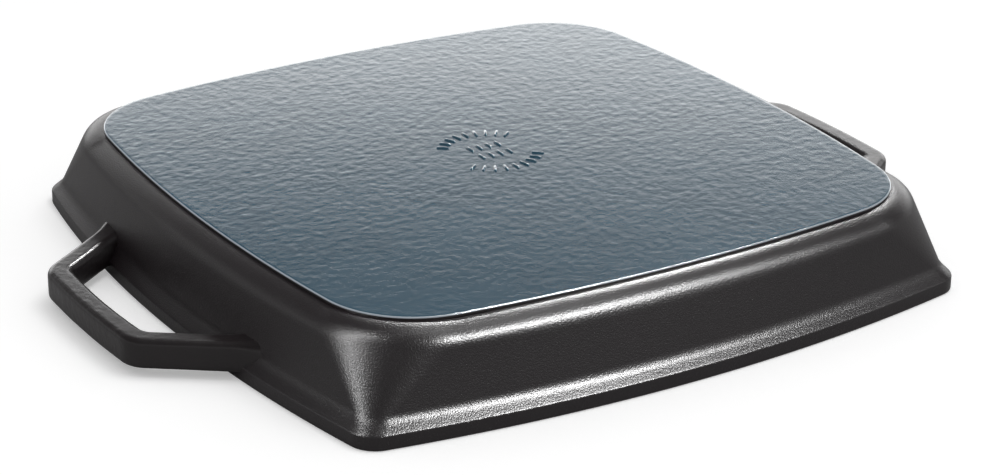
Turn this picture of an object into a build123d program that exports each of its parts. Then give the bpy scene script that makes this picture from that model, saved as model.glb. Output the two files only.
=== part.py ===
"""Square cast-iron grill pan with two loop handles, lying upside down on its rim.

Millimetres. The origin is the centre of the rim's face, on the surface that the pan lies on.
+Z points up through the base, +X runs from handle to handle, and the mouth opens downwards.
"""

from build123d import *
import math
import os

# Rim: its width across the flats is the size that such a pan is sold by
RIM_WIDTH = 330.0
RIM_BOW_RADIUS = 760.0
RIM_CORNER_RADIUS = 13.0
RIM_FACE_HEIGHT = 6.5
RIM_OVERHANG = 4.5
RIM_SLOPE_HEIGHT = 3.6
RIM_ROOT_RADIUS = 8.0
RIM_SHOULDER_RADIUS = 1.5

# Side wall: it flares from the shoulder under the base down to the rim
PAN_HEIGHT = 45.0
WALL_FLARE = 6.0
SHOULDER_BOW_RADIUS = 815.0
SHOULDER_CORNER_RADIUS = 55.0
SHOULDER_RADIUS = 9.0
WALL_CORNER_RADIUS = 12.0
WALL_THICKNESS = 4.0
FLOOR_THICKNESS = 3.5
MOUTH_CORNER_RADIUS = 10.0
FLOOR_CORNER_RADIUS = 48.0
INNER_FOOT_RADIUS = 7.0
BAND_HEIGHT = 16.0

# Base: a raised flat that meets the hob, under a coat of enamel
BASE_INSET = 8.5
BASE_BOW_RADIUS = 826.0
BASE_CORNER_RADIUS = 43.0
BASE_STEP = 1.5
BASE_ENAMEL_THICKNESS = 0.6
BASE_EDGE_CHAMFER = 0.4

# Cooking ridges: they run from handle to handle and stop short of the wall's foot
RIDGE_COUNT = 17
RIDGE_MARGIN = 31.0
RIDGE_HEIGHT = 4.5
RIDGE_WIDTH = 5.0
RIDGE_DRAFT = 12.0
RIDGE_TIP_RADIUS = 1.0
RIDGE_GUTTER = 9.0

# Loop handles: two splayed arms and a bowed grip
HANDLE_REACH = 34.2
HANDLE_TOP = 17.0
HANDLE_BOTTOM = 3.4
HANDLE_BAR_WIDTH = 10.4
HANDLE_GRIP_HALF_SPAN = 41.5
HANDLE_GRIP_BOW = 1.6
HANDLE_ARM_ANGLE = 36.0
HANDLE_OUTER_CORNER_RADIUS = 13.0
HANDLE_INNER_CORNER_RADIUS = 6.5
HANDLE_EDGE_RADIUS = 2.6
HANDLE_ROOT_DEPTH = 25.0
HANDLE_FOOT_INSET = 4.5
HANDLE_FLARE = 2.8
HANDLE_FLARE_LENGTH = 8.5
HANDLE_FLARE_DEPTH = 3.5
HANDLE_FLARE_BITE = 0.35
HANDLE_FLARE_ABOVE = 0.3
HANDLE_FLARE_BELOW = 0.25
HANDLE_FLARE_SECTIONS = 4

# Sizes that follow from the ones above
RIM_TOP = RIM_FACE_HEIGHT + RIM_SLOPE_HEIGHT
LEDGE = PAN_HEIGHT - BASE_STEP
FLOOR_FACE = LEDGE - FLOOR_THICKNESS
WALL_WIDTH = RIM_WIDTH - 2 * RIM_OVERHANG
SHOULDER_WIDTH = WALL_WIDTH - 2 * WALL_FLARE
BASE_WIDTH = SHOULDER_WIDTH - 2 * BASE_INSET
HANDLE_TIP = RIM_WIDTH / 2 + HANDLE_REACH
HANDLE_ROOT = RIM_WIDTH / 2 - HANDLE_ROOT_DEPTH
HANDLE_FOOT = WALL_WIDTH / 2 - HANDLE_FOOT_INSET


def side_meeting(width, bow_radius):
    """Coordinate at which two neighbouring bowed sides would meet, before the corner is rounded."""
    inset = bow_radius - width / 2
    return (math.sqrt(2 * bow_radius**2 - inset**2) - inset) / 2


def bowed_square(height, width, bow_radius, corner_radius):
    """Face at a height: a square whose four sides bow outwards, with rounded corners."""
    corner = side_meeting(width, bow_radius)
    with BuildSketch(Plane.XY.offset(height)) as square:
        with BuildLine():
            for quarter in range(4):
                turn = 90 * quarter
                start = Vector(corner, -corner).rotate(Axis.Z, turn)
                middle = Vector(width / 2, 0).rotate(Axis.Z, turn)
                end = Vector(corner, corner).rotate(Axis.Z, turn)
                ThreePointArc(start, middle, end)
        make_face()
        fillet(square.vertices(), radius=corner_radius)
    return square.sketch


def reach_at(distance, width, bow_radius, corner_radius):
    """Half length of a line across a bowed square, at a distance from its centre."""
    side_centre = width / 2 - bow_radius
    bow = bow_radius - corner_radius
    centre = (side_centre + math.sqrt(2 * bow**2 - side_centre**2)) / 2
    tangent = centre + centre * corner_radius / bow
    if distance <= tangent:
        return side_centre + math.sqrt(bow_radius**2 - distance**2)
    return centre + math.sqrt(corner_radius**2 - (distance - centre) ** 2)


def between(at_rim, at_ledge, height):
    """Value that changes steadily up the wall, from the top of the rim to the ledge."""
    return at_rim + (at_ledge - at_rim) * (height - RIM_TOP) / (LEDGE - RIM_TOP)


def wall_width(height):
    """Width of the casting's outer wall at a height."""
    return between(WALL_WIDTH, SHOULDER_WIDTH, height)


def wall_bow(height):
    """Radius of the outer wall's bow at a height."""
    return between(RIM_BOW_RADIUS, SHOULDER_BOW_RADIUS, height)


def wall_section(height):
    """Outline of the outer wall at a height."""
    corner = between(WALL_CORNER_RADIUS, SHOULDER_CORNER_RADIUS, height)
    return bowed_square(height, wall_width(height), wall_bow(height), corner)


def cavity_section(height, corner_radius, inset=0):
    """Outline of the inside of the wall at a height, or one drawn further in."""
    step = WALL_THICKNESS + inset
    return bowed_square(height, wall_width(height) - 2 * step, wall_bow(height) - step, corner_radius)


def edges_at(builder, height):
    """Edges of a part that lie all along at a height."""
    return builder.edges().filter_by_position(Axis.Z, height, height)


def arm_edge(distance, inset=0):
    """How far to the side an arm's edge lies, at a distance out from the pan's centre."""
    angle = math.radians(HANDLE_ARM_ANGLE)
    splay = (HANDLE_TIP - distance) * math.tan(angle)
    return HANDLE_GRIP_HALF_SPAN + splay - inset / math.cos(angle)


def handle_outline(inset, corner_radius):
    """Plan of the handle's outer or inner edge: two arms from inside the wall, and the grip."""
    grip = HANDLE_TIP - inset
    with BuildSketch(Plane.XY.offset(HANDLE_BOTTOM)) as plan:
        with BuildLine():
            near_arm = Line((HANDLE_ROOT, -arm_edge(HANDLE_ROOT, inset)), (grip, -arm_edge(grip, inset)))
            far_end = (grip, arm_edge(grip, inset))
            far_arm = Line(far_end, (HANDLE_ROOT, arm_edge(HANDLE_ROOT, inset)))
            ThreePointArc(near_arm @ 1, (grip + HANDLE_GRIP_BOW, 0), far_end)
            Line(far_arm @ 1, near_arm @ 0)
        make_face()
        fillet(plan.vertices().group_by(Axis.X)[-1], radius=corner_radius)
    return plan.sketch


def root_section(distance, side):
    """Section across a handle's root. It spreads towards the wall, and its far end is inside the bar."""
    reach = (distance - HANDLE_FOOT) / HANDLE_FLARE_LENGTH
    flare = HANDLE_FLARE * (1 - reach) ** 2 - HANDLE_FLARE_BITE
    low = HANDLE_BOTTOM - flare * HANDLE_FLARE_BELOW
    high = HANDLE_TOP + (flare + HANDLE_FLARE_BITE) * HANDLE_FLARE_ABOVE - HANDLE_FLARE_BITE
    outer = arm_edge(distance) + flare
    inner = arm_edge(distance, HANDLE_BAR_WIDTH) - flare
    centre = (distance, side * (outer + inner) / 2, (high + low) / 2)
    with BuildSketch(Plane(centre, x_dir=(0, 1, 0), z_dir=(1, 0, 0))) as section:
        RectangleRounded(outer - inner, high - low, HANDLE_EDGE_RADIUS)
    return section.sketch


# The outside of the casting, without its base or handles
with BuildPart() as outer_form:
    loft(sections=[wall_section(RIM_TOP), wall_section(LEDGE)], ruled=True)
    fillet(edges_at(outer_form, LEDGE), radius=SHOULDER_RADIUS)
    rim_face = bowed_square(0, RIM_WIDTH, RIM_BOW_RADIUS, RIM_CORNER_RADIUS)
    extrude(rim_face, amount=RIM_FACE_HEIGHT)
    rim_shoulder = rim_face.moved(Location((0, 0, RIM_FACE_HEIGHT)))
    loft(sections=[rim_shoulder, wall_section(RIM_TOP)], ruled=True)
    fillet(edges_at(outer_form, RIM_TOP), radius=RIM_ROOT_RADIUS)
    fillet(edges_at(outer_form, RIM_FACE_HEIGHT), radius=RIM_SHOULDER_RADIUS)

# The hollow of the pan, from the rim's plane to the cooking floor
with BuildPart() as cavity:
    mouth = cavity_section(0, MOUTH_CORNER_RADIUS)
    loft(sections=[mouth, cavity_section(FLOOR_FACE, FLOOR_CORNER_RADIUS)], ruled=True)
    fillet(edges_at(cavity, FLOOR_FACE), radius=INNER_FOOT_RADIUS)

with BuildPart() as casting:
    add(outer_form.part)
    add(cavity.part, mode=Mode.SUBTRACT)

# Flared wall, shoulder and floor
with BuildPart() as pan_shell:
    add(casting.part)
    split(bisect_by=Plane.XY.offset(BAND_HEIGHT), keep=Keep.TOP)
pan_shell.part.label = "pan_shell"

# Thick band round the mouth, on which the pan lies here
with BuildPart() as rim_band:
    add(casting.part)
    split(bisect_by=Plane.XY.offset(BAND_HEIGHT), keep=Keep.BOTTOM)
rim_band.part.label = "rim_band"

# Loop handle at +X: a bar with spreading roots, cut off at the casting's surface
with BuildPart() as right_handle:
    add(handle_outline(0, HANDLE_OUTER_CORNER_RADIUS))
    extrude(amount=HANDLE_TOP - HANDLE_BOTTOM)
    add(handle_outline(HANDLE_BAR_WIDTH, HANDLE_INNER_CORNER_RADIUS))
    extrude(amount=HANDLE_TOP - HANDLE_BOTTOM, mode=Mode.SUBTRACT)
    flat_edges = edges_at(right_handle, HANDLE_TOP) + edges_at(right_handle, HANDLE_BOTTOM)
    fillet([e for e in flat_edges if (e @ 0.5).X > HANDLE_ROOT + 1], radius=HANDLE_EDGE_RADIUS)
    for side in (-1, 1):
        flare_start = HANDLE_FOOT - HANDLE_FLARE_DEPTH
        flare_step = (HANDLE_FLARE_LENGTH + HANDLE_FLARE_DEPTH) / (HANDLE_FLARE_SECTIONS - 1)
        stations = [flare_start + flare_step * place for place in range(HANDLE_FLARE_SECTIONS)]
        loft(sections=[root_section(station, side) for station in stations])
    add(outer_form.part, mode=Mode.SUBTRACT)
right_handle.part.label = "right_handle"

with BuildPart() as left_handle:
    mirror(right_handle.part, about=Plane.YZ)
left_handle.part.label = "left_handle"

# Raised flat of the base
with BuildPart() as base_plateau:
    extrude(
        bowed_square(LEDGE, BASE_WIDTH, BASE_BOW_RADIUS, BASE_CORNER_RADIUS),
        amount=BASE_STEP - BASE_ENAMEL_THICKNESS,
    )
base_plateau.part.label = "base_plateau"

# Enamel on the raised flat, with a bevelled edge
with BuildPart() as base_enamel:
    extrude(
        bowed_square(
            PAN_HEIGHT - BASE_ENAMEL_THICKNESS, BASE_WIDTH, BASE_BOW_RADIUS, BASE_CORNER_RADIUS
        ),
        amount=BASE_ENAMEL_THICKNESS,
    )
    chamfer(edges_at(base_enamel, PAN_HEIGHT), length=BASE_EDGE_CHAMFER)
base_enamel.part.label = "base_enamel"

# Ridges of the cooking surface: drafted bars with rounded crests, hanging from the floor here
ridge_crest = RIDGE_WIDTH - 2 * RIDGE_HEIGHT * math.tan(math.radians(RIDGE_DRAFT))
ridge_field_inset = WALL_THICKNESS + RIDGE_GUTTER
ridge_span = wall_width(FLOOR_FACE) - 2 * (WALL_THICKNESS + RIDGE_MARGIN)
ridges = []
for number in range(RIDGE_COUNT):
    side = (number - (RIDGE_COUNT - 1) / 2) * ridge_span / (RIDGE_COUNT - 1)
    half_length = reach_at(
        abs(side) + RIDGE_WIDTH / 2,
        wall_width(FLOOR_FACE) - 2 * ridge_field_inset,
        wall_bow(FLOOR_FACE) - ridge_field_inset,
        FLOOR_CORNER_RADIUS - RIDGE_GUTTER,
    )
    with BuildPart() as ridge:
        with BuildSketch(Plane((0, side, FLOOR_FACE), x_dir=(0, 1, 0), z_dir=(1, 0, 0))) as profile:
            Polygon(
                (-RIDGE_WIDTH / 2, 0),
                (RIDGE_WIDTH / 2, 0),
                (ridge_crest / 2, -RIDGE_HEIGHT),
                (-ridge_crest / 2, -RIDGE_HEIGHT),
                align=None,
            )
            fillet(profile.vertices().group_by(Axis.Y)[0], radius=RIDGE_TIP_RADIUS)
        extrude(amount=half_length, both=True)
    ridge.part.label = f"grill_ridge_{number + 1:02d}"
    ridges.append(ridge.part)

os.makedirs("parts", exist_ok=True)
pieces = [builder.part for builder in (pan_shell, rim_band, right_handle, left_handle)]
pieces += [base_plateau.part, base_enamel.part, *ridges]
for piece in pieces:
    export_step(piece, f"parts/{piece.label}.step")
    print(piece.label, len(piece.solids()), piece.is_valid, round(piece.volume))
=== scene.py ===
import math

import bpy
from mathutils import Matrix, Vector


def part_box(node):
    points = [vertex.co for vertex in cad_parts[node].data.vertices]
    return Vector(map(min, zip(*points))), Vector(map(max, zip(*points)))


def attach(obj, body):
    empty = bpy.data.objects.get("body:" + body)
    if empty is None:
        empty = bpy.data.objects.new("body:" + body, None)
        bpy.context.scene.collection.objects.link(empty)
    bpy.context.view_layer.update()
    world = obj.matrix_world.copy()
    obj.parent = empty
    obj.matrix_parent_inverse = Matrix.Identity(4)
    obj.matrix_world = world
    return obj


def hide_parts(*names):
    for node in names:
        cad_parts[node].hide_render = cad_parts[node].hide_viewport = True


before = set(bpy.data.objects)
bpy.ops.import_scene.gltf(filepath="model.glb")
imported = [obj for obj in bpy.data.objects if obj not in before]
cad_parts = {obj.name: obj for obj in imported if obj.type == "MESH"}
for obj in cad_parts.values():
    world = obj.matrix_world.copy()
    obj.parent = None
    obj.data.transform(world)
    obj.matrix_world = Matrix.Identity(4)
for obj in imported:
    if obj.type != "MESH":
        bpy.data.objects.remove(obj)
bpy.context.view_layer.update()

# The camera, at the photograph's viewing angle: above the pan's near left corner, with a long
# lens and a slight roll. The frame is 1000 pixels wide and 475 high.
FRAME_SIZE = (1000, 475)
FOCAL_PIXELS = 2802.2
PICTURE_CENTRE = (567.97, 243.22)
SENSOR_WIDTH = 36.0
azimuth, elevation, roll = (math.radians(angle) for angle in (-33.8457, 23.6267, 1.2195))
aim = Vector((-0.0079, -0.0761, 0.030))
distance = 1.20385
away = Vector(
    (
        math.sin(azimuth) * math.cos(elevation),
        -math.cos(azimuth) * math.cos(elevation),
        math.sin(elevation),
    )
)
right = Vector((math.cos(azimuth), math.sin(azimuth), 0))
up = away.cross(right)
rolled_right = right * math.cos(roll) + up * math.sin(roll)
rolled_up = up * math.cos(roll) - right * math.sin(roll)
camera_data = bpy.data.cameras.new("camera")
camera_data.sensor_width = SENSOR_WIDTH
camera_data.lens = FOCAL_PIXELS * SENSOR_WIDTH / FRAME_SIZE[0]
camera_data.shift_x = (FRAME_SIZE[0] / 2 - PICTURE_CENTRE[0]) / FRAME_SIZE[0]
camera_data.shift_y = (PICTURE_CENTRE[1] - FRAME_SIZE[1] / 2) / FRAME_SIZE[0]
camera = bpy.data.objects.new("camera", camera_data)
turn = Matrix((rolled_right, rolled_up, away)).transposed().to_4x4()
camera.matrix_world = Matrix.Translation(aim + away * distance) @ turn
bpy.context.scene.collection.objects.link(camera)
bpy.context.scene.camera = camera
bpy.context.scene.view_settings.view_transform = "Standard"

# The casting: cast iron in charcoal enamel, poured in one piece. Its wall flares from a round
# shoulder under the base down to a thick lip, and the corners tighten from base to rim.
# Here it is two pieces that meet on a level plane, as in the frame: the shell and the rim's band.
LEDGE = 0.0435
RIM_TOP = 0.0111
RIM_FACE = 0.0065
BAND_TOP = 0.016
FLOOR_FACE = 0.040
# Each outline is its width, the radius of its bowed sides and the radius of its corners
RIM = (0.330, 0.760, 0.013)
WALL_FOOT = (0.3207, 0.760, 0.012)
SHOULDER = (0.309, 0.815, 0.055)
MOUTH = (0.3166, 0.740, 0.010)
FLOOR = (0.3023, 0.806, 0.048)
FLOOR_MIDDLE = (0.250, 0.780, 0.030)
UNDER_BASE = (0.286, 0.823, 0.040)
SHOULDER_RADIUS = 0.011
INNER_FOOT_RADIUS = 0.007
RIM_ROOT_RADIUS = 0.009
LIP_RADIUS = 0.0013
RIM_EDGE_RADIUS = 0.001
# How finely each stretch is cut: round the pan, round a curve, and down each part of the section
SIDE_STEPS = 44
CORNER_STEPS = 26
CURVE_STEPS = 9
OUTER_WALL_STEPS = (2, 14)
INNER_WALL_STEPS = (8, 5)
BAND_STEPS = (3, 2, 3, 4, 6)
CREASE_ANGLE = math.radians(40)
# Enamel's tint and its roughness wander between these shares of their plain values
TINT_SHARES = (0.82, 1.18)
ROUGHNESS_SHARES = (0.8, 1.25)
CLOUDS_PER_METRE = 26
COAT_ROUGHNESS = 0.12


def bowed_square(outline, height):
    """Points round a square with bowed sides and round corners, from the middle of the +X side."""
    width, bow, corner = outline
    arc_centre = width / 2 - bow
    inner = bow - corner
    centre = (arc_centre + math.sqrt(2 * inner**2 - arc_centre**2)) / 2
    meeting = math.atan2(centre, centre - arc_centre)
    eighth = []
    for step in range(SIDE_STEPS):
        angle = meeting * step / SIDE_STEPS
        eighth.append((arc_centre + bow * math.cos(angle), bow * math.sin(angle)))
    quarter = list(eighth)
    for step in range(CORNER_STEPS + 1):
        angle = meeting + (math.pi / 2 - 2 * meeting) * step / CORNER_STEPS
        quarter.append((centre + corner * math.cos(angle), centre + corner * math.sin(angle)))
    quarter += [(y, x) for x, y in reversed(eighth[1:])]
    points = []
    for turn_count in range(4):
        for x, y in quarter:
            for _ in range(turn_count):
                x, y = -y, x
            points.append(Vector((x, y, height)))
    return points


def eased(corners, radii, straight_steps):
    """A line through the given corners, with each inner corner rounded to its radius."""
    line = []
    start = corners[0]
    for index in range(1, len(corners)):
        corner = corners[index]
        toward = (corner - corners[index - 1]).normalized()
        radius = radii[index] if index < len(corners) - 1 else 0
        if radius:
            onward = (corners[index + 1] - corner).normalized()
            bend = toward.angle(onward)
            cut = radius * math.tan(bend / 2)
            side = (onward - toward * toward.dot(onward)).normalized()
            arc_start = corner - toward * cut
        else:
            arc_start = corner
        steps = straight_steps[index - 1]
        line += [start.lerp(arc_start, step / steps) for step in range(steps)]
        if radius:
            for step in range(CURVE_STEPS):
                angle = bend * step / CURVE_STEPS
                line.append(
                    arc_start
                    + toward * (radius * math.sin(angle))
                    + side * (radius * (1 - math.cos(angle)))
                )
            start = corner + onward * cut
        else:
            start = corner
    line.append(start)
    return line


def skin(name, lines, closed_across, closed_along, capped):
    """A mesh over lines of points that lie side by side, with its faces turned outwards."""
    rows = len(lines)
    length = len(lines[0])
    faces = []
    for row in range(rows if closed_across else rows - 1):
        beside = (row + 1) % rows
        for place in range(length if closed_along else length - 1):
            after = (place + 1) % length
            faces.append(
                (
                    row * length + place,
                    beside * length + place,
                    beside * length + after,
                    row * length + after,
                )
            )
    if capped:
        faces.append(tuple(row * length for row in reversed(range(rows))))
        faces.append(tuple(row * length + length - 1 for row in range(rows)))
    mesh = bpy.data.meshes.new(name)
    mesh.from_pydata([point for line in lines for point in line], [], faces)
    mesh.update()
    if signed_volume(mesh) < 0:
        mesh.flip_normals()
    mesh.polygons.foreach_set("use_smooth", [True] * len(mesh.polygons))
    mesh.set_sharp_from_angle(angle=CREASE_ANGLE)
    piece = bpy.data.objects.new(name, mesh)
    bpy.context.scene.collection.objects.link(piece)
    return piece


def signed_volume(mesh):
    """Volume inside a closed mesh, below nothing where its faces point inwards."""
    mesh.calc_loop_triangles()
    total = 0
    for triangle in mesh.loop_triangles:
        first, second, third = (mesh.vertices[index].co for index in triangle.vertices)
        total += first.dot(second.cross(third))
    return total / 6


def node_named(tree, kind, **values):
    """A node of a material or a geometry tree, with its plain settings made."""
    node = tree.nodes.new(kind)
    for key, value in values.items():
        setattr(node, key, value)
    return node


def wired(tree, *links):
    """Joins nodes of a tree: each link is a node and its output, then a node and its input."""
    for source, output, target, socket in links:
        tree.links.new(source.outputs[output], target.inputs[socket])


def enamel(name, colour, roughness, grain, wave, coat):
    """Vitreous enamel: a colour that varies a little, with a grain and a slow wave in its gloss.

    The grain and the wave are each given as a size and a depth.
    """
    grain_size, grain_depth = grain
    wave_size, wave_depth = wave
    material = bpy.data.materials.new(name)
    material.use_nodes = True
    tree = material.node_tree
    shader = tree.nodes["Principled BSDF"]
    shader.inputs["Coat Weight"].default_value = coat
    shader.inputs["Coat Roughness"].default_value = COAT_ROUGHNESS
    place = node_named(tree, "ShaderNodeTexCoord")
    cloud = node_named(tree, "ShaderNodeTexNoise")
    cloud.inputs["Scale"].default_value = CLOUDS_PER_METRE
    cloud.inputs["Detail"].default_value = 5
    tint = node_named(tree, "ShaderNodeMix", data_type="RGBA")
    for socket, share in zip("AB", TINT_SHARES):
        tint.inputs[socket].default_value = (*(channel * share for channel in colour), 1)
    shine = node_named(tree, "ShaderNodeMapRange")
    for socket, share in zip(("To Min", "To Max"), ROUGHNESS_SHARES):
        shine.inputs[socket].default_value = roughness * share
    grain_noise = node_named(tree, "ShaderNodeTexNoise")
    grain_noise.inputs["Scale"].default_value = 1 / grain_size
    grain_noise.inputs["Detail"].default_value = 2
    wave_noise = node_named(tree, "ShaderNodeTexNoise")
    wave_noise.inputs["Scale"].default_value = 1 / wave_size
    wave_noise.inputs["Detail"].default_value = 1.5
    grain_bump = node_named(tree, "ShaderNodeBump")
    grain_bump.inputs["Distance"].default_value = grain_depth
    wave_bump = node_named(tree, "ShaderNodeBump")
    wave_bump.inputs["Distance"].default_value = wave_depth
    for texture in (cloud, grain_noise, wave_noise):
        tree.links.new(place.outputs["Object"], texture.inputs["Vector"])
    wired(
        tree,
        (cloud, "Fac", tint, "Factor"),
        (tint, "Result", shader, "Base Color"),
        (grain_noise, "Fac", shine, "Value"),
        (shine, "Result", shader, "Roughness"),
        (wave_noise, "Fac", wave_bump, "Height"),
        (grain_noise, "Fac", grain_bump, "Height"),
        (wave_bump, "Normal", grain_bump, "Normal"),
        (grain_bump, "Normal", shader, "Normal"),
    )
    return material


charcoal_enamel = enamel(
    "charcoal enamel",
    colour=(0.0145, 0.0105, 0.0122),
    roughness=0.31,
    grain=(0.00065, 0.00013),
    wave=(0.005, 0.00003),
    coat=0.0,
)

outlines = {
    name: bowed_square(outline, height)
    for name, outline, height in (
        ("under_base", UNDER_BASE, LEDGE),
        ("shoulder", SHOULDER, LEDGE),
        ("wall_foot", WALL_FOOT, RIM_TOP),
        ("lip", RIM, RIM_FACE),
        ("rim", RIM, 0),
        ("mouth", MOUTH, 0),
        ("floor", FLOOR, FLOOR_FACE),
        ("floor_middle", FLOOR_MIDDLE, FLOOR_FACE),
    )
}


def on_wall(high, low, place, height):
    """Point at a height on the straight line between two outlines of the wall."""
    top = outlines[high][place]
    bottom = outlines[low][place]
    return bottom.lerp(top, (height - bottom.z) / (top.z - bottom.z))


shell_lines = []
band_lines = []
for place in range(len(outlines["rim"])):
    outer_cut = on_wall("shoulder", "wall_foot", place, BAND_TOP)
    inner_cut = on_wall("floor", "mouth", place, BAND_TOP)
    at = {name: points[place] for name, points in outlines.items()}
    shell_lines.append(
        eased(
            [at["under_base"], at["shoulder"], outer_cut],
            [0, SHOULDER_RADIUS, 0],
            OUTER_WALL_STEPS,
        )
        + eased(
            [inner_cut, at["floor"], at["floor_middle"]],
            [0, INNER_FOOT_RADIUS, 0],
            INNER_WALL_STEPS,
        )
    )
    band_lines.append(
        eased(
            [outer_cut, at["wall_foot"], at["lip"], at["rim"], at["mouth"], inner_cut],
            [0, RIM_ROOT_RADIUS, LIP_RADIUS, RIM_EDGE_RADIUS, RIM_EDGE_RADIUS, 0],
            BAND_STEPS,
        )
    )
shell = skin("shell", shell_lines, True, False, True)
rim = skin("rim", band_lines, True, True, False)
for piece, node in ((shell, "pan_shell"), (rim, "rim_band")):
    piece.data.materials.append(charcoal_enamel)
    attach(piece, "root")
    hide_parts(node)

# The raised flat under the base's enamel shows only as a dark line round it. It is part of the
# casting, in the same enamel as the wall.
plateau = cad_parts["base_plateau"]
for slot in plateau.material_slots:
    slot.material = charcoal_enamel


# The base's enamel: a thick glossy blue-grey coat that dried with a hammered skin, with a pale line
# painted round the edge of the raised flat as a painted highlight on its rounding.
BASE = (0.292, 0.826, 0.043)
BASE_TOP = 0.045
BASE_BOTTOM = 0.0444
BASE_EDGE = 0.0005
BASE_RELIEF = 0.00011
BASE_DIMPLE = 0.0029
# The colour of a painted highlight: a pale line painted round the edge of the raised flat, on a
# rounding too small to catch the light itself
PAINTED_EDGE_HIGHLIGHT = (0.42, 0.47, 0.52, 1)
BASE_CREASE_ANGLE = math.radians(60)
GRID_STEPS = 124
EDGE_ROUNDING_STEPS = 5
# Where the noise is under this level the hammered skin sinks, and over it the skin rises
HAMMER_LEVEL = 0.62


def geometry_tree(name, **inputs):
    """An empty geometry tree with a geometry in and out, and inputs of the given kinds."""
    tree = bpy.data.node_groups.new(name, "GeometryNodeTree")
    tree.interface.new_socket("Geometry", in_out="INPUT", socket_type="NodeSocketGeometry")
    for label, kind in inputs.items():
        tree.interface.new_socket(label, in_out="INPUT", socket_type="NodeSocket" + kind)
    tree.interface.new_socket("Geometry", in_out="OUTPUT", socket_type="NodeSocketGeometry")
    return tree, node_named(tree, "NodeGroupInput"), node_named(tree, "NodeGroupOutput")


def hammered_tree():
    """A geometry tree that raises a surface's vertices along their normals in a hammered relief."""
    tree, given, result = geometry_tree(
        "hammered skin", Relief="Float", Dimple="Float", Material="Material"
    )
    position = node_named(tree, "GeometryNodeInputPosition")
    normal = node_named(tree, "GeometryNodeInputNormal")
    invert = node_named(tree, "ShaderNodeMath", operation="DIVIDE")
    invert.inputs[0].default_value = 1
    noise = node_named(tree, "ShaderNodeTexNoise")
    noise.inputs["Detail"].default_value = 1.2
    noise.inputs["Roughness"].default_value = 0.4
    centred = node_named(tree, "ShaderNodeMath", operation="SUBTRACT")
    centred.inputs[1].default_value = HAMMER_LEVEL
    depth = node_named(tree, "ShaderNodeMath", operation="MULTIPLY")
    lift = node_named(tree, "ShaderNodeVectorMath", operation="SCALE")
    move = node_named(tree, "GeometryNodeSetPosition")
    realize = node_named(tree, "GeometryNodeRealizeInstances")
    cover = node_named(tree, "GeometryNodeSetMaterial")
    wired(
        tree,
        (given, "Dimple", invert, 1),
        (position, "Position", noise, "Vector"),
        (invert, "Value", noise, "Scale"),
        (noise, "Fac", centred, 0),
        (centred, "Value", depth, 0),
        (given, "Relief", depth, 1),
        (normal, "Normal", lift, 0),
        (depth, "Value", lift, "Scale"),
        (given, "Geometry", move, "Geometry"),
        (lift, "Vector", move, "Offset"),
        (move, "Geometry", realize, "Geometry"),
        (realize, "Geometry", cover, "Geometry"),
        (given, "Material", cover, "Material"),
        (cover, "Geometry", result, "Geometry"),
    )
    return tree


def made_plain(piece, tree, values):
    """Runs a geometry tree on a piece and leaves the result as the piece's plain mesh."""
    modifier = piece.modifiers.new("made", "NODES")
    modifier.node_group = tree
    for item in tree.interface.items_tree:
        if item.in_out == "INPUT" and item.name in values:
            modifier[item.identifier] = values[item.name]
    evaluated = piece.evaluated_get(bpy.context.evaluated_depsgraph_get())
    mesh = bpy.data.meshes.new_from_object(evaluated)
    piece.modifiers.clear()
    piece.data = mesh


def edge_point(across, along):
    """Point of the base's outline that a point of the grid's outer square stands for."""
    total = len(base_outline)
    if abs(across) >= abs(along):
        turn_share = along / across / 8
        turn_share += 0 if across > 0 else 0.5
    else:
        turn_share = 0.25 - across / along / 8
        turn_share += 0 if along > 0 else 0.5
    place = (turn_share % 1) * total
    low = int(place) % total
    return base_outline[low].lerp(base_outline[(low + 1) % total], place - int(place))


base_outline = bowed_square(BASE, 0)
edge_lengths = [0.0]
for place, point in enumerate(base_outline):
    beside = base_outline[(place + 1) % len(base_outline)]
    edge_lengths.append(edge_lengths[-1] + (beside - point).length)
even_outline = []
place = 0
for step in range(8 * GRID_STEPS):
    wanted = edge_lengths[-1] * step / (8 * GRID_STEPS)
    while edge_lengths[place + 1] < wanted:
        place += 1
    share = (wanted - edge_lengths[place]) / (edge_lengths[place + 1] - edge_lengths[place])
    beside = base_outline[(place + 1) % len(base_outline)]
    even_outline.append(base_outline[place].lerp(beside, share))
base_outline = even_outline

inset = 1 - BASE_EDGE / (BASE[0] / 2)
vertices = []
for row in range(-GRID_STEPS, GRID_STEPS + 1):
    for column in range(-GRID_STEPS, GRID_STEPS + 1):
        ring = max(abs(row), abs(column))
        spot = edge_point(column, row) * (inset * ring / GRID_STEPS) if ring else Vector((0, 0, 0))
        vertices.append(Vector((spot.x, spot.y, BASE_TOP)))
wide = 2 * GRID_STEPS + 1
faces = [
    (first, first + 1, first + wide + 1, first + wide)
    for row in range(wide - 1)
    for first in range(row * wide, row * wide + wide - 1)
]
border = [row * wide + wide - 1 for row in range(GRID_STEPS, wide - 1)]
border += [(wide - 1) * wide + column for column in range(wide - 1, 0, -1)]
border += [row * wide for row in range(wide - 1, 0, -1)]
border += list(range(wide - 1))
border += [row * wide + wide - 1 for row in range(GRID_STEPS)]
last_ring = border
for step in range(1, EDGE_ROUNDING_STEPS + 2):
    angle = math.pi / 2 * min(step, EDGE_ROUNDING_STEPS) / EDGE_ROUNDING_STEPS
    outward = BASE_EDGE * math.sin(angle)
    height = BASE_TOP - BASE_EDGE * (1 - math.cos(angle))
    if step > EDGE_ROUNDING_STEPS:
        height = BASE_BOTTOM
    scale = 1 + outward / (BASE[0] / 2 * inset)
    ring = []
    for index in border:
        spot = vertices[index]
        ring.append(len(vertices))
        vertices.append(Vector((spot.x * scale, spot.y * scale, height)))
    for place in range(len(border)):
        after = (place + 1) % len(border)
        faces.append((last_ring[place], ring[place], ring[after], last_ring[after]))
    last_ring = ring
faces.append(tuple(reversed(last_ring)))
mesh = bpy.data.meshes.new("base_skin")
mesh.from_pydata(vertices, [], faces)
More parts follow.
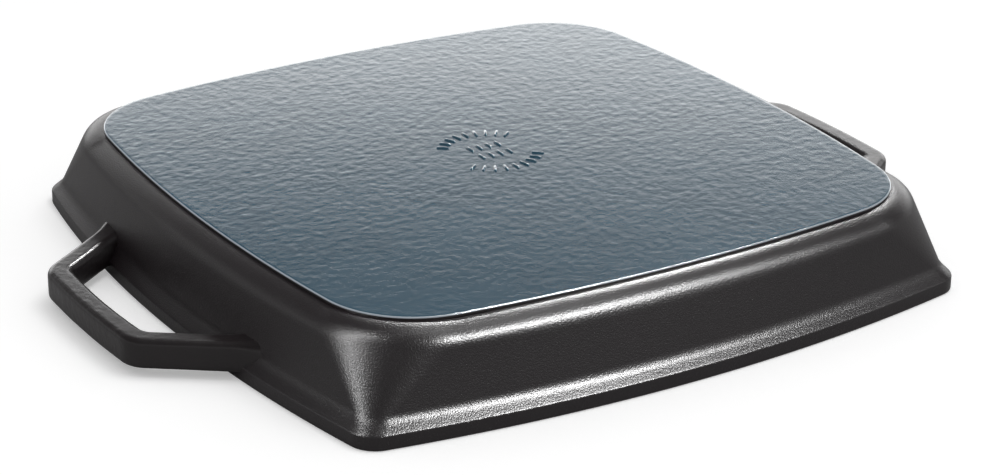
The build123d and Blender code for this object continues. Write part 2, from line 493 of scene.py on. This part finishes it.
mesh.update()
if signed_volume(mesh) < 0:
    mesh.flip_normals()
mesh.polygons.foreach_set("use_smooth", [True] * len(mesh.polygons))
# Mask of the painted edge highlight: 1 on the rings round the edge, 0 on the grid of the flat
edge_highlight_mask = mesh.attributes.new("edge_highlight_mask", "FLOAT", "POINT")
grid_count = wide * wide
edge_highlight_mask.data.foreach_set(
    "value", [0.0] * grid_count + [1.0] * (len(mesh.vertices) - grid_count)
)
base_skin = bpy.data.objects.new("base_skin", mesh)
bpy.context.scene.collection.objects.link(base_skin)

blue_enamel = enamel(
    "blue-grey enamel",
    colour=(0.030, 0.080, 0.120),
    roughness=0.15,
    grain=(0.0009, 0.00002),
    wave=(0.0022, 0.00005),
    coat=0.5,
)
tree = blue_enamel.node_tree
shader = tree.nodes["Principled BSDF"]
# The pale painted highlight is mixed into the enamel's colour where the mask is 1
highlight_mask_read = node_named(tree, "ShaderNodeAttribute", attribute_name="edge_highlight_mask")
painted_edge_highlight = node_named(tree, "ShaderNodeMix", data_type="RGBA")
painted_edge_highlight.inputs["B"].default_value = PAINTED_EDGE_HIGHLIGHT
tree.links.new(shader.inputs["Base Color"].links[0].from_socket, painted_edge_highlight.inputs["A"])
wired(
    tree,
    (highlight_mask_read, "Fac", painted_edge_highlight, "Factor"),
    (painted_edge_highlight, "Result", shader, "Base Color"),
)
hammered = hammered_tree()
made_plain(
    base_skin,
    hammered,
    {"Relief": BASE_RELIEF, "Dimple": BASE_DIMPLE, "Material": blue_enamel},
)
base_skin.data.set_sharp_from_angle(angle=BASE_CREASE_ANGLE)
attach(base_skin, "root")
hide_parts("base_enamel")

# The marks at the base's centre: plain raised dashes, cast with the base and enamelled with it,
# in the place where such a pan carries its own. They say nothing.
MARK_RISE = 0.0007
MARK_LENGTH = 0.0058
MARK_WIDTH = 0.0014
ARC_RADIUS = 0.0215
ARC_MARKS = 9
ARC_STEP = math.radians(13)
ROW_MARKS = 4
ROW_STEP = 0.0048
ROW_PLACES = (0.0055, -0.0045)
marks = []
for step in range(ARC_MARKS):
    spread = (step - (ARC_MARKS - 1) / 2) * ARC_STEP
    for turn in (0, math.pi):
        angle = turn + spread
        marks.append((-ARC_RADIUS * math.sin(angle), ARC_RADIUS * math.cos(angle), angle))
for row_place in ROW_PLACES:
    for step in range(ROW_MARKS):
        marks.append(((step - (ROW_MARKS - 1) / 2) * ROW_STEP, row_place, 0.0))
mark_mesh = bpy.data.meshes.new("base_marks")
mark_mesh.from_pydata([(x, y, BASE_TOP) for x, y, _ in marks], [], [])
turns = mark_mesh.attributes.new("turn", "FLOAT", "POINT")
turns.data.foreach_set("value", [mark[2] for mark in marks])
base_marks = bpy.data.objects.new("base_marks", mark_mesh)
bpy.context.scene.collection.objects.link(base_marks)
# A bead is drawn out along Y into a pill, and one pill stands on each point, turned by its "turn"
marks_tree, given, result = geometry_tree(
    "raised marks", Length="Float", Width="Float", Height="Float", Material="Material"
)
bead = node_named(marks_tree, "GeometryNodeMeshUVSphere")
bead.inputs["Segments"].default_value = 12
bead.inputs["Rings"].default_value = 8
bead.inputs["Radius"].default_value = 0.5
size = node_named(marks_tree, "ShaderNodeCombineXYZ")
shape = node_named(marks_tree, "GeometryNodeTransform")
position = node_named(marks_tree, "GeometryNodeInputPosition")
axes = node_named(marks_tree, "ShaderNodeSeparateXYZ")
half_sign = node_named(marks_tree, "ShaderNodeMath", operation="SIGN")
run = node_named(marks_tree, "ShaderNodeMath", operation="SUBTRACT")
half_run = node_named(marks_tree, "ShaderNodeMath", operation="MULTIPLY")
half_run.inputs[1].default_value = 0.5
pull = node_named(marks_tree, "ShaderNodeMath", operation="MULTIPLY")
pull_along = node_named(marks_tree, "ShaderNodeCombineXYZ")
stretch = node_named(marks_tree, "GeometryNodeSetPosition")
turn_read = node_named(marks_tree, "GeometryNodeInputNamedAttribute", data_type="FLOAT")
turn_read.inputs["Name"].default_value = "turn"
spin = node_named(marks_tree, "ShaderNodeCombineXYZ")
to_turn = node_named(marks_tree, "FunctionNodeEulerToRotation")
repeat = node_named(marks_tree, "GeometryNodeInstanceOnPoints")
realize = node_named(marks_tree, "GeometryNodeRealizeInstances")
smooth = node_named(marks_tree, "GeometryNodeSetShadeSmooth")
cover = node_named(marks_tree, "GeometryNodeSetMaterial")
wired(
    marks_tree,
    (given, "Width", size, "X"),
    (given, "Width", size, "Y"),
    (given, "Height", size, "Z"),
    (bead, "Mesh", shape, "Geometry"),
    (position, "Position", axes, "Vector"),
    (axes, "Y", half_sign, 0),
    (given, "Length", run, 0),
    (given, "Width", run, 1),
    (run, "Value", half_run, 0),
    (half_sign, "Value", pull, 0),
    (half_run, "Value", pull, 1),
    (pull, "Value", pull_along, "Y"),
    (shape, "Geometry", stretch, "Geometry"),
    (pull_along, "Vector", stretch, "Offset"),
    (size, "Vector", shape, "Scale"),
    (turn_read, "Attribute", spin, "Z"),
    (spin, "Vector", to_turn, "Euler"),
    (given, "Geometry", repeat, "Points"),
    (stretch, "Geometry", repeat, "Instance"),
    (to_turn, "Rotation", repeat, "Rotation"),
    (repeat, "Instances", smooth, "Geometry"),
    (smooth, "Geometry", realize, "Geometry"),
    (realize, "Geometry", cover, "Geometry"),
    (given, "Material", cover, "Material"),
    (cover, "Geometry", result, "Geometry"),
)
made_plain(
    base_marks,
    marks_tree,
    {
        "Length": MARK_LENGTH,
        "Width": MARK_WIDTH,
        "Height": 2 * MARK_RISE,
        "Material": blue_enamel,
    },
)
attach(base_marks, "root")

# The ridges of the cooking surface: iron bars cast with the floor, under matt black enamel. Each
# runs from handle to handle and stops short of the wall's foot.
RIDGE_COUNT = 17
RIDGE_WIDTH = 0.005
RIDGE_CREST = 0.0031
RIDGE_HEIGHT = 0.0045
RIDGE_CREST_RADIUS = 0.001
RIDGE_ROOT_SINK = 0.0003
RIDGE_STEPS = (3, 2, 3)
ridge_vertices = []
ridge_edges = []
for number in range(RIDGE_COUNT):
    low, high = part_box(f"grill_ridge_{number + 1:02d}")
    side = (low.y + high.y) / 2
    ridge_vertices += [(low.x, side, FLOOR_FACE), (high.x, side, FLOOR_FACE)]
    ridge_edges.append((2 * number, 2 * number + 1))
ridge_mesh = bpy.data.meshes.new("ridges")
ridge_mesh.from_pydata(ridge_vertices, ridge_edges, [])
ridges = bpy.data.objects.new("ridges", ridge_mesh)
bpy.context.scene.collection.objects.link(ridges)
profile_corners = [
    Vector((-RIDGE_WIDTH / 2, RIDGE_ROOT_SINK, 0)),
    Vector((-RIDGE_CREST / 2, -RIDGE_HEIGHT, 0)),
    Vector((RIDGE_CREST / 2, -RIDGE_HEIGHT, 0)),
    Vector((RIDGE_WIDTH / 2, RIDGE_ROOT_SINK, 0)),
]
profile_points = eased(
    profile_corners, [0, RIDGE_CREST_RADIUS, RIDGE_CREST_RADIUS, 0], RIDGE_STEPS
)
count = len(profile_points)
profile_mesh = bpy.data.meshes.new("ridge_profile")
profile_mesh.from_pydata(profile_points, [(step, (step + 1) % count) for step in range(count)], [])
ridge_profile = bpy.data.objects.new("ridge_profile", profile_mesh)
bpy.context.scene.collection.objects.link(ridge_profile)
# One cross-section is swept along every ridge's line
ridge_tree, given, result = geometry_tree(
    "cooking ridges", Profile="Object", Material="Material"
)
lines = node_named(ridge_tree, "GeometryNodeMeshToCurve")
shape = node_named(ridge_tree, "GeometryNodeObjectInfo")
shape_line = node_named(ridge_tree, "GeometryNodeMeshToCurve")
sweep = node_named(ridge_tree, "GeometryNodeCurveToMesh")
sweep.inputs["Fill Caps"].default_value = True
realize = node_named(ridge_tree, "GeometryNodeRealizeInstances")
cover = node_named(ridge_tree, "GeometryNodeSetMaterial")
wired(
    ridge_tree,
    (given, "Geometry", lines, "Mesh"),
    (given, "Profile", shape, "Object"),
    (shape, "Geometry", shape_line, "Mesh"),
    (lines, "Curve", sweep, "Curve"),
    (shape_line, "Curve", sweep, "Profile Curve"),
    (sweep, "Mesh", realize, "Geometry"),
    (realize, "Geometry", cover, "Geometry"),
    (given, "Material", cover, "Material"),
    (cover, "Geometry", result, "Geometry"),
)
matt_enamel = enamel(
    "matt black enamel",
    colour=(0.017, 0.016, 0.016),
    roughness=0.55,
    grain=(0.0006, 0.00006),
    wave=(0.004, 0.00004),
    coat=0.0,
)
made_plain(ridges, ridge_tree, {"Profile": ridge_profile, "Material": matt_enamel})
bpy.data.objects.remove(ridge_profile)
ridges.data.polygons.foreach_set("use_smooth", [True] * len(ridges.data.polygons))
if signed_volume(ridges.data) < 0:
    ridges.data.flip_normals()
ridges.data.set_sharp_from_angle(angle=CREASE_ANGLE)
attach(ridges, "root")
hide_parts(*(f"grill_ridge_{number + 1:02d}" for number in range(RIDGE_COUNT)))

# The loop handles: two splayed arms and a bowed grip, cast with the pan. Their roots spread as
# they run into the wall, and their enamel is glossier than the wall's.
HANDLE_TIP = 0.1992
HANDLE_TOP = 0.017
HANDLE_BOTTOM = 0.0034
HANDLE_WIDTH = 0.0104
GRIP_HALF = 0.0415
GRIP_BOW = 0.0016
ARM_ANGLE = math.radians(36)
HANDLE_START = 0.1540
FLARE = 0.0028
FLARE_FOOT = 0.156
FLARE_LENGTH = 0.0085
FLARE_ABOVE = 0.3
FLARE_BELOW = 0.25
ROOT_ROUNDING = 0.9
EDGE_RADIUS = 0.0028
EDGE_STEPS = 8
FLAT_STEPS = 5
ARM_STEPS = 44
GRIP_STEPS = 60
OUTER_CORNER_RADIUS = 0.013
INNER_CORNER_RADIUS = 0.0065
HANDLE_RELIEF = 0.00016
HANDLE_DIMPLE = 0.007


def handle_edge(inset, radius):
    """Plan of one edge of a handle, from the root at -Y round the grip to the root at +Y."""
    grip = HANDLE_TIP - inset

    def arm(x):
        return GRIP_HALF + (HANDLE_TIP - x) * math.tan(ARM_ANGLE) - inset / math.cos(ARM_ANGLE)

    corners = [
        Vector((HANDLE_START, -arm(HANDLE_START), 0)),
        Vector((grip, -arm(grip), 0)),
        Vector((grip, arm(grip), 0)),
        Vector((HANDLE_START, arm(HANDLE_START), 0)),
    ]
    line = eased(corners, [0, radius, radius, 0], [ARM_STEPS, GRIP_STEPS, ARM_STEPS])
    for point in line:
        share = abs(point.y) / arm(grip)
        if share < 1:
            point.x += GRIP_BOW * (1 - share**2)
    return line


def handle_section(outer, inner):
    """Points round the bar where its edges pass through the two given points."""
    centre = (outer + inner) / 2
    across = (outer - inner).normalized()
    nearness = max(0.0, 1 - (centre.x - FLARE_FOOT) / FLARE_LENGTH)
    flare = FLARE * nearness**2
    half = (outer - inner).length / 2 + flare
    high = HANDLE_TOP + flare * FLARE_ABOVE
    low = HANDLE_BOTTOM - flare * FLARE_BELOW
    rounding = EDGE_RADIUS + flare * ROOT_ROUNDING
    corners = [(half, low), (half, high), (-half, high), (-half, low)]
    section = []
    for index, (side, height) in enumerate(corners):
        inward = (-1 if side > 0 else 1, 1 if height == low else -1)
        middle = (side + inward[0] * rounding, height + inward[1] * rounding)
        start = (index - 1) * math.pi / 2
        for step in range(EDGE_STEPS + 1):
            angle = start + math.pi / 2 * step / EDGE_STEPS
            turned_side = middle[0] + rounding * math.cos(angle)
            section.append((turned_side, middle[1] + rounding * math.sin(angle)))
        following = corners[(index + 1) % 4]
        along = (following[0] - side, following[1] - height)
        length = math.hypot(*along)
        run = length - 2 * rounding
        last = section[-1]
        for step in range(1, FLAT_STEPS):
            share = run * step / FLAT_STEPS / length
            section.append((last[0] + along[0] * share, last[1] + along[1] * share))
    return [
        Vector((centre.x + across.x * side, centre.y + across.y * side, height))
        for side, height in section
    ]


handle_enamel = enamel(
    "handle enamel",
    colour=(0.0150, 0.0115, 0.0125),
    roughness=0.30,
    grain=(0.0008, 0.00004),
    wave=(0.0030, 0.00014),
    coat=0.1,
)
outer_edge = handle_edge(0, OUTER_CORNER_RADIUS)
inner_edge = handle_edge(HANDLE_WIDTH, INNER_CORNER_RADIUS)
sections = [handle_section(outer, inner) for outer, inner in zip(outer_edge, inner_edge)]
for name, turned in (("right_handle", 1), ("left_handle", -1)):
    placed = [[Vector((turned * p.x, turned * p.y, p.z)) for p in section] for section in sections]
    rows = [[section[index] for section in placed] for index in range(len(placed[0]))]
    handle = skin(name + "_bar", rows, True, False, True)
    made_plain(
        handle,
        hammered,
        {"Relief": HANDLE_RELIEF, "Dimple": HANDLE_DIMPLE, "Material": handle_enamel},
    )
    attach(handle, "root")
    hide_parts(name)

# The stage: a plain white floor that keeps the pan's shadow, under a soft studio light.
# The camera sees white paper and air. The gloss sees them darker, with a screen far behind.
FLOOR_REACH = 6.0
PAPER_GREY = 0.38
PAPER_SEEN = 0.86
PAPER_GLOW = 0.30
AIR_STRENGTH = 0.62
AIR_SEEN = 1.0
SCREEN_SIDE = (0.56, 0.83, 0)
floor_mesh = bpy.data.meshes.new("floor")
floor_mesh.from_pydata(
    [(x * FLOOR_REACH, y * FLOOR_REACH, 0) for x, y in ((-1, -1), (1, -1), (1, 1), (-1, 1))],
    [],
    [(0, 1, 2, 3)],
)
floor = bpy.data.objects.new("floor", floor_mesh)
bpy.context.scene.collection.objects.link(floor)
paper = bpy.data.materials.new("floor paper")
paper.use_nodes = True
tree = paper.node_tree
shader = tree.nodes["Principled BSDF"]
shader.inputs["Roughness"].default_value = 1.0
shader.inputs["Specular IOR Level"].default_value = 0.0
ray = node_named(tree, "ShaderNodeLightPath")
seen = node_named(tree, "ShaderNodeMath", operation="MULTIPLY")
seen.inputs[1].default_value = PAPER_GLOW
shader.inputs["Emission Color"].default_value = (1, 1, 1, 1)
shade = node_named(tree, "ShaderNodeMix", data_type="RGBA")
for socket, grey in (("A", PAPER_GREY), ("B", PAPER_SEEN)):
    shade.inputs[socket].default_value = (grey, grey, grey, 1)
wired(
    tree,
    (ray, "Is Camera Ray", shade, "Factor"),
    (shade, "Result", shader, "Base Color"),
    (ray, "Is Camera Ray", seen, 0),
    (seen, "Value", shader, "Emission Strength"),
)
floor_mesh.materials.append(paper)

world = bpy.data.worlds.new("studio")
bpy.context.scene.world = world
world.use_nodes = True
tree = world.node_tree
background = tree.nodes["Background"]
background.inputs["Color"].default_value = (1, 1, 1, 1)
place = node_named(tree, "ShaderNodeTexCoord")
parts = node_named(tree, "ShaderNodeSeparateXYZ")


def smooth_ramp(tree, start, end, first, last):
    """A node that turns smoothly from a first value at the start into a last one at the end."""
    ramp = node_named(tree, "ShaderNodeMapRange", interpolation_type="SMOOTHSTEP")
    ramp.inputs["From Min"].default_value = start
    ramp.inputs["From Max"].default_value = end
    ramp.inputs["To Min"].default_value = first
    ramp.inputs["To Max"].default_value = last
    return ramp


# Above the far edge of the table stands a bright white screen, which the gloss reflects. It fades
# upwards and to its sides, where the room takes over and darkens upwards.
screen = smooth_ramp(tree, 0.29, 0.40, 2.9, 0.03)
ahead = node_named(tree, "ShaderNodeVectorMath", operation="DOT_PRODUCT")
ahead.inputs[1].default_value = SCREEN_SIDE
width = smooth_ramp(tree, 0.62, 0.93, 0.0, 1.0)
low_room = smooth_ramp(tree, 0.05, 0.45, 0.55, 0.09)
room = node_named(tree, "ShaderNodeMix", data_type="FLOAT")
ray = node_named(tree, "ShaderNodeLightPath")
glossy = node_named(tree, "ShaderNodeMix", data_type="FLOAT")
glossy.inputs["A"].default_value = AIR_STRENGTH
seen = node_named(tree, "ShaderNodeMix", data_type="FLOAT")
seen.inputs["B"].default_value = AIR_SEEN
wired(
    tree,
    (place, "Generated", parts, "Vector"),
    (parts, "Z", screen, "Value"),
    (place, "Generated", ahead, 0),
    (ahead, "Value", width, "Value"),
    (width, "Result", room, "Factor"),
    (screen, "Result", room, "B"),
    (parts, "Z", low_room, "Value"),
    (low_room, "Result", room, "A"),
    (room, "Result", glossy, "B"),
    (ray, "Is Glossy Ray", glossy, "Factor"),
    (glossy, "Result", seen, "A"),
    (ray, "Is Camera Ray", seen, "Factor"),
    (seen, "Result", background, "Strength"),
)


def softbox(name, spot, aim_at, size, power, only_gloss):
    """A soft rectangular lamp that faces a point. Some only draw a highlight on the gloss."""
    lamp = bpy.data.lights.new(name, "AREA")
    lamp.shape = "RECTANGLE"
    lamp.size, lamp.size_y = size
    lamp.energy = power
    holder = bpy.data.objects.new(name, lamp)
    spot = Vector(spot)
    holder.location = spot
    holder.rotation_euler = (Vector(aim_at) - spot).to_track_quat("-Z", "Y").to_euler()
    bpy.context.scene.collection.objects.link(holder)
    holder.visible_diffuse = not only_gloss
    return holder


softbox("top lamp", (0.4, -0.3, 1.8), (0, 0, 0), (1.0, 1.0), power=10, only_gloss=False)
softbox("back lamp", (1.0, 0.9, 1.45), (0, 0, 0.03), (0.5, 0.25), power=46, only_gloss=True)
softbox("right lamp", (0.55, -1.38, 1.05), (0, -0.1, 0.03), (0.42, 0.36), power=74, only_gloss=True)
# A tall strip draws the near corner's highlight. It would blow out on the glossy base, so it lights
# only the wall and the rim.
corner_lamp = softbox(
    "corner lamp",
    (-1.25, -0.06, 0.72),
    (-0.15, -0.15, 0.03),
    (0.07, 1.3),
    power=23,
    only_gloss=True,
)
corner_lit = bpy.data.collections.new("lit by corner lamp")
corner_lit.objects.link(shell)
corner_lit.objects.link(rim)
corner_lamp.light_linking.receiver_collection = corner_lit
